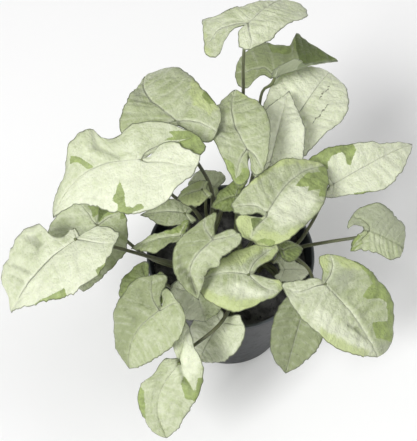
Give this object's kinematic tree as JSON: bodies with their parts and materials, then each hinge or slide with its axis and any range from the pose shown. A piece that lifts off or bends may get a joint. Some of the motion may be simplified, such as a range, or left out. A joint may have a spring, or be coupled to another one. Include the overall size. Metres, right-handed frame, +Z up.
{
  "type": "potted arrowhead plant",
  "caption": "Bushy arrowhead house plant with pale, wavy, variegated arrow-shaped leaves on slender stalks, growing from soil in a tapered dark round nursery pot.",
  "frame": {"origin": "centre of the pot's flat underside", "axes": "+Z up along the pot's axis, +Y away from the viewer in the picture, +X to the viewer's right"},
  "size_m": [0.3446, 0.3282, 0.2984],
  "materials": {
    "leaf": "pale cream green leaf with green patches, soft satin",
    "stalk": "dark olive green stem, satin",
    "pot": "dark slate grey plastic, satin",
    "soil": "dark brown crumbly potting soil, matt"
  },
  "bodies": {
    "root": {"leaf_back_green": "leaf", "leaf_back_left": "leaf", "leaf_back_middle": "leaf", "leaf_back_round": "leaf", "leaf_centre_folded": "leaf", "leaf_centre_front": "leaf", "leaf_centre_right": "leaf", "leaf_front_left": "leaf", "leaf_front_left_under": "leaf", "leaf_front_low": "leaf", "leaf_front_oval": "leaf", "leaf_front_right_large": "leaf", "leaf_front_right_low": "leaf", "leaf_front_under": "leaf", "leaf_inner_grey": "leaf", "leaf_inner_olive": "leaf", "leaf_inner_right": "leaf", "leaf_left_bright": "leaf", "leaf_left_large": "leaf", "leaf_left_pennant": "leaf", "leaf_left_under": "leaf", "leaf_right_long": "leaf", "leaf_right_small": "leaf", "leaf_small_olive": "leaf", "leaf_small_pale": "leaf", "leaf_small_pointed": "leaf", "leaf_top": "leaf", "leaf_upper_left": "leaf", "pot": "pot", "soil": "soil", "stem_back": "stalk", "stem_centre": "stalk", "stem_far_left": "stalk", "stem_front": "stalk", "stem_left": "stalk", "stem_right": "stalk"}
  },
  "joints": []
}
